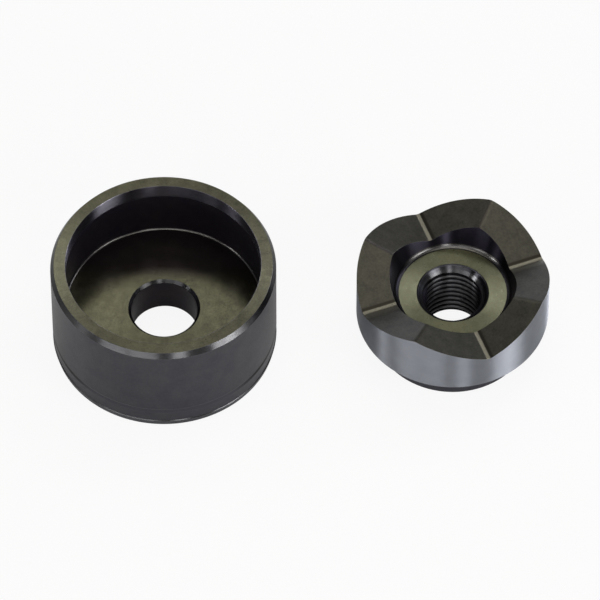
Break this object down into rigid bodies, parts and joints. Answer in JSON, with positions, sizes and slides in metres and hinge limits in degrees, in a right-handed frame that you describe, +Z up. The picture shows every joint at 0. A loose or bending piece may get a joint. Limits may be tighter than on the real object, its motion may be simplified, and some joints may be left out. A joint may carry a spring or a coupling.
{
  "type": "knockout punch and die",
  "caption": "Round knockout punch with a pointed shear face and threaded hub, beside the cup-shaped die it is drawn into to cut a hole in sheet metal.",
  "frame": {"origin": "middle of the pair's box, on the bench", "axes": "+X from the die to the punch, +Y away from the viewer, +Z up, along both pieces' axes"},
  "size_m": [0.146, 0.066, 0.0347],
  "materials": {
    "oxidised_steel": "dark oxidised, satin, with ground faces",
    "ground_steel": "ground, with a dark oxidised boss and recess wall"
  },
  "bodies": {
    "die_body": {"die": "oxidised_steel"},
    "punch_body": {"punch": "ground_steel"}
  },
  "joints": [
    {"name": "punch_draw", "type": "slide", "parent": "die_body", "child": "punch_body", "axis": [0, 0, 1], "range_m": [0, 0.021]}
  ]
}
